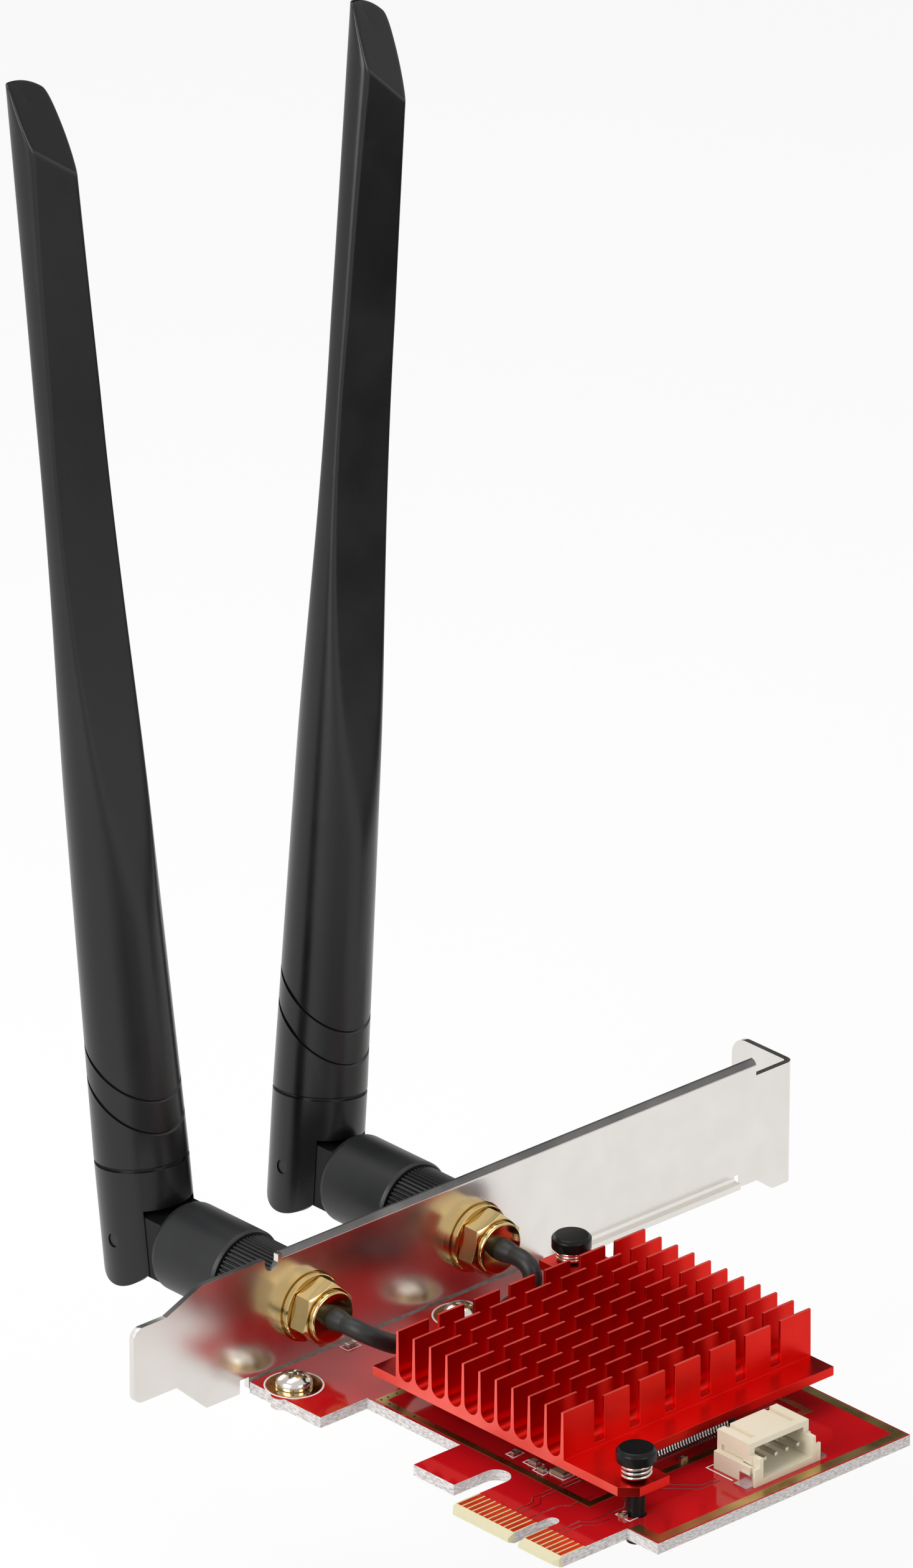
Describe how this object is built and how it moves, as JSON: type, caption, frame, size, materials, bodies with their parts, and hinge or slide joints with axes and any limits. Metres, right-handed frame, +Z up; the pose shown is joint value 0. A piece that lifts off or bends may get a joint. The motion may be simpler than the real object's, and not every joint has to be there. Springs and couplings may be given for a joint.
{
  "type": "wireless network card",
  "caption": "Plug-in wireless network card with a keyed contact edge, folded steel bracket, finned cooler and blade antennas that swivel and fold on threaded sockets.",
  "frame": {"origin": "on the contact edge of the board, at the centre of the key notch and the board's mid-plane", "axes": "+X away from the slot, +Y out through the bracket to the antennas, +Z up from the component side"},
  "size_m": [0.121, 0.1249, 0.173],
  "materials": {
    "red_board": "glossy",
    "gold_plate": "polished",
    "satin_steel": "satin",
    "nickel": "polished",
    "red_aluminium": "satin",
    "black_plastic": "satin",
    "gloss_black": "glossy",
    "ivory_plastic": "satin",
    "tin": "satin",
    "black_cable": "satin",
    "module_board": "glossy",
    "shield_steel": "satin",
    "grey_pad": "matte",
    "ceramic": "satin",
    "white_insulator": "satin",
    "copper": "satin"
  },
  "bodies": {
    "card": {"bracket": "satin_steel", "circuit_board": "red_board", "edge_contacts": "gold_plate", "board_screws": "nickel", "screw_pads": "gold_plate", "heatsink": "red_aluminium", "front_push_pin": "gloss_black", "rear_push_pin": "gloss_black", "front_pin_spring": "nickel", "rear_pin_spring": "nickel", "radio_module": "module_board", "module_shield": "shield_steel", "thermal_pad": "grey_pad", "module_socket": "gloss_black", "module_socket_leads": "tin", "module_standoff": "gold_plate", "module_screw": "nickel", "module_antenna_sockets": "gold_plate", "header_shell": "ivory_plastic", "header_pins": "tin", "header_solder_tabs": "tin", "chip_bodies": "ceramic", "chip_terminals": "tin", "left_pigtail_plug": "gold_plate", "left_pigtail": "black_cable", "left_pigtail_sleeve": "black_cable", "left_flat_washer": "gold_plate", "left_lock_washer": "gold_plate", "left_sma_jack": "gold_plate", "left_jack_insulator": "white_insulator", "left_jack_contact": "gold_plate", "left_jack_nut": "gold_plate", "right_pigtail_plug": "gold_plate", "right_pigtail": "black_cable", "right_pigtail_sleeve": "black_cable", "right_flat_washer": "gold_plate", "right_lock_washer": "gold_plate", "right_sma_jack": "gold_plate", "right_jack_insulator": "white_insulator", "right_jack_contact": "gold_plate", "right_jack_nut": "gold_plate"},
    "left_collar": {"left_antenna_collar": "black_plastic"},
    "left_barrel": {"left_swivel_barrel": "black_plastic", "left_plug_pin": "gold_plate"},
    "left_blade": {"left_antenna_fork": "black_plastic", "left_hinge_pin": "gloss_black", "left_antenna_sleeve": "black_plastic", "left_radiator": "copper"},
    "right_collar": {"right_antenna_collar": "black_plastic"},
    "right_barrel": {"right_swivel_barrel": "black_plastic", "right_plug_pin": "gold_plate"},
    "right_blade": {"right_antenna_fork": "black_plastic", "right_hinge_pin": "gloss_black", "right_antenna_sleeve": "black_plastic", "right_radiator": "copper"}
  },
  "joints": [
    {"name": "left_collar_spin", "type": "hinge", "parent": "card", "child": "left_collar", "pos_m": [0.0144, 0.06315, 0.009], "axis": [0, 1, 0], "continuous": true},
    {"name": "left_swivel", "type": "hinge", "parent": "card", "child": "left_barrel", "pos_m": [0.0144, 0.06655, 0.009], "axis": [0, 1, 0], "range_deg": [-90, 4]},
    {"name": "left_fold", "type": "hinge", "parent": "left_barrel", "child": "left_blade", "pos_m": [0.0144, 0.08765, 0.009], "axis": [-1, 0, 0], "range_deg": [-7.4, 82.6]},
    {"name": "right_collar_spin", "type": "hinge", "parent": "card", "child": "right_collar", "pos_m": [0.0449, 0.06315, 0.009], "axis": [0, 1, 0], "continuous": true},
    {"name": "right_swivel", "type": "hinge", "parent": "card", "child": "right_barrel", "pos_m": [0.0449, 0.06655, 0.009], "axis": [0, 1, 0], "range_deg": [-8.2, 81.8]},
    {"name": "right_fold", "type": "hinge", "parent": "right_barrel", "child": "right_blade", "pos_m": [0.0449, 0.08765, 0.009], "axis": [-0.9898, 0, 0.1426], "range_deg": [-4.4, 85.6]}
  ]
}
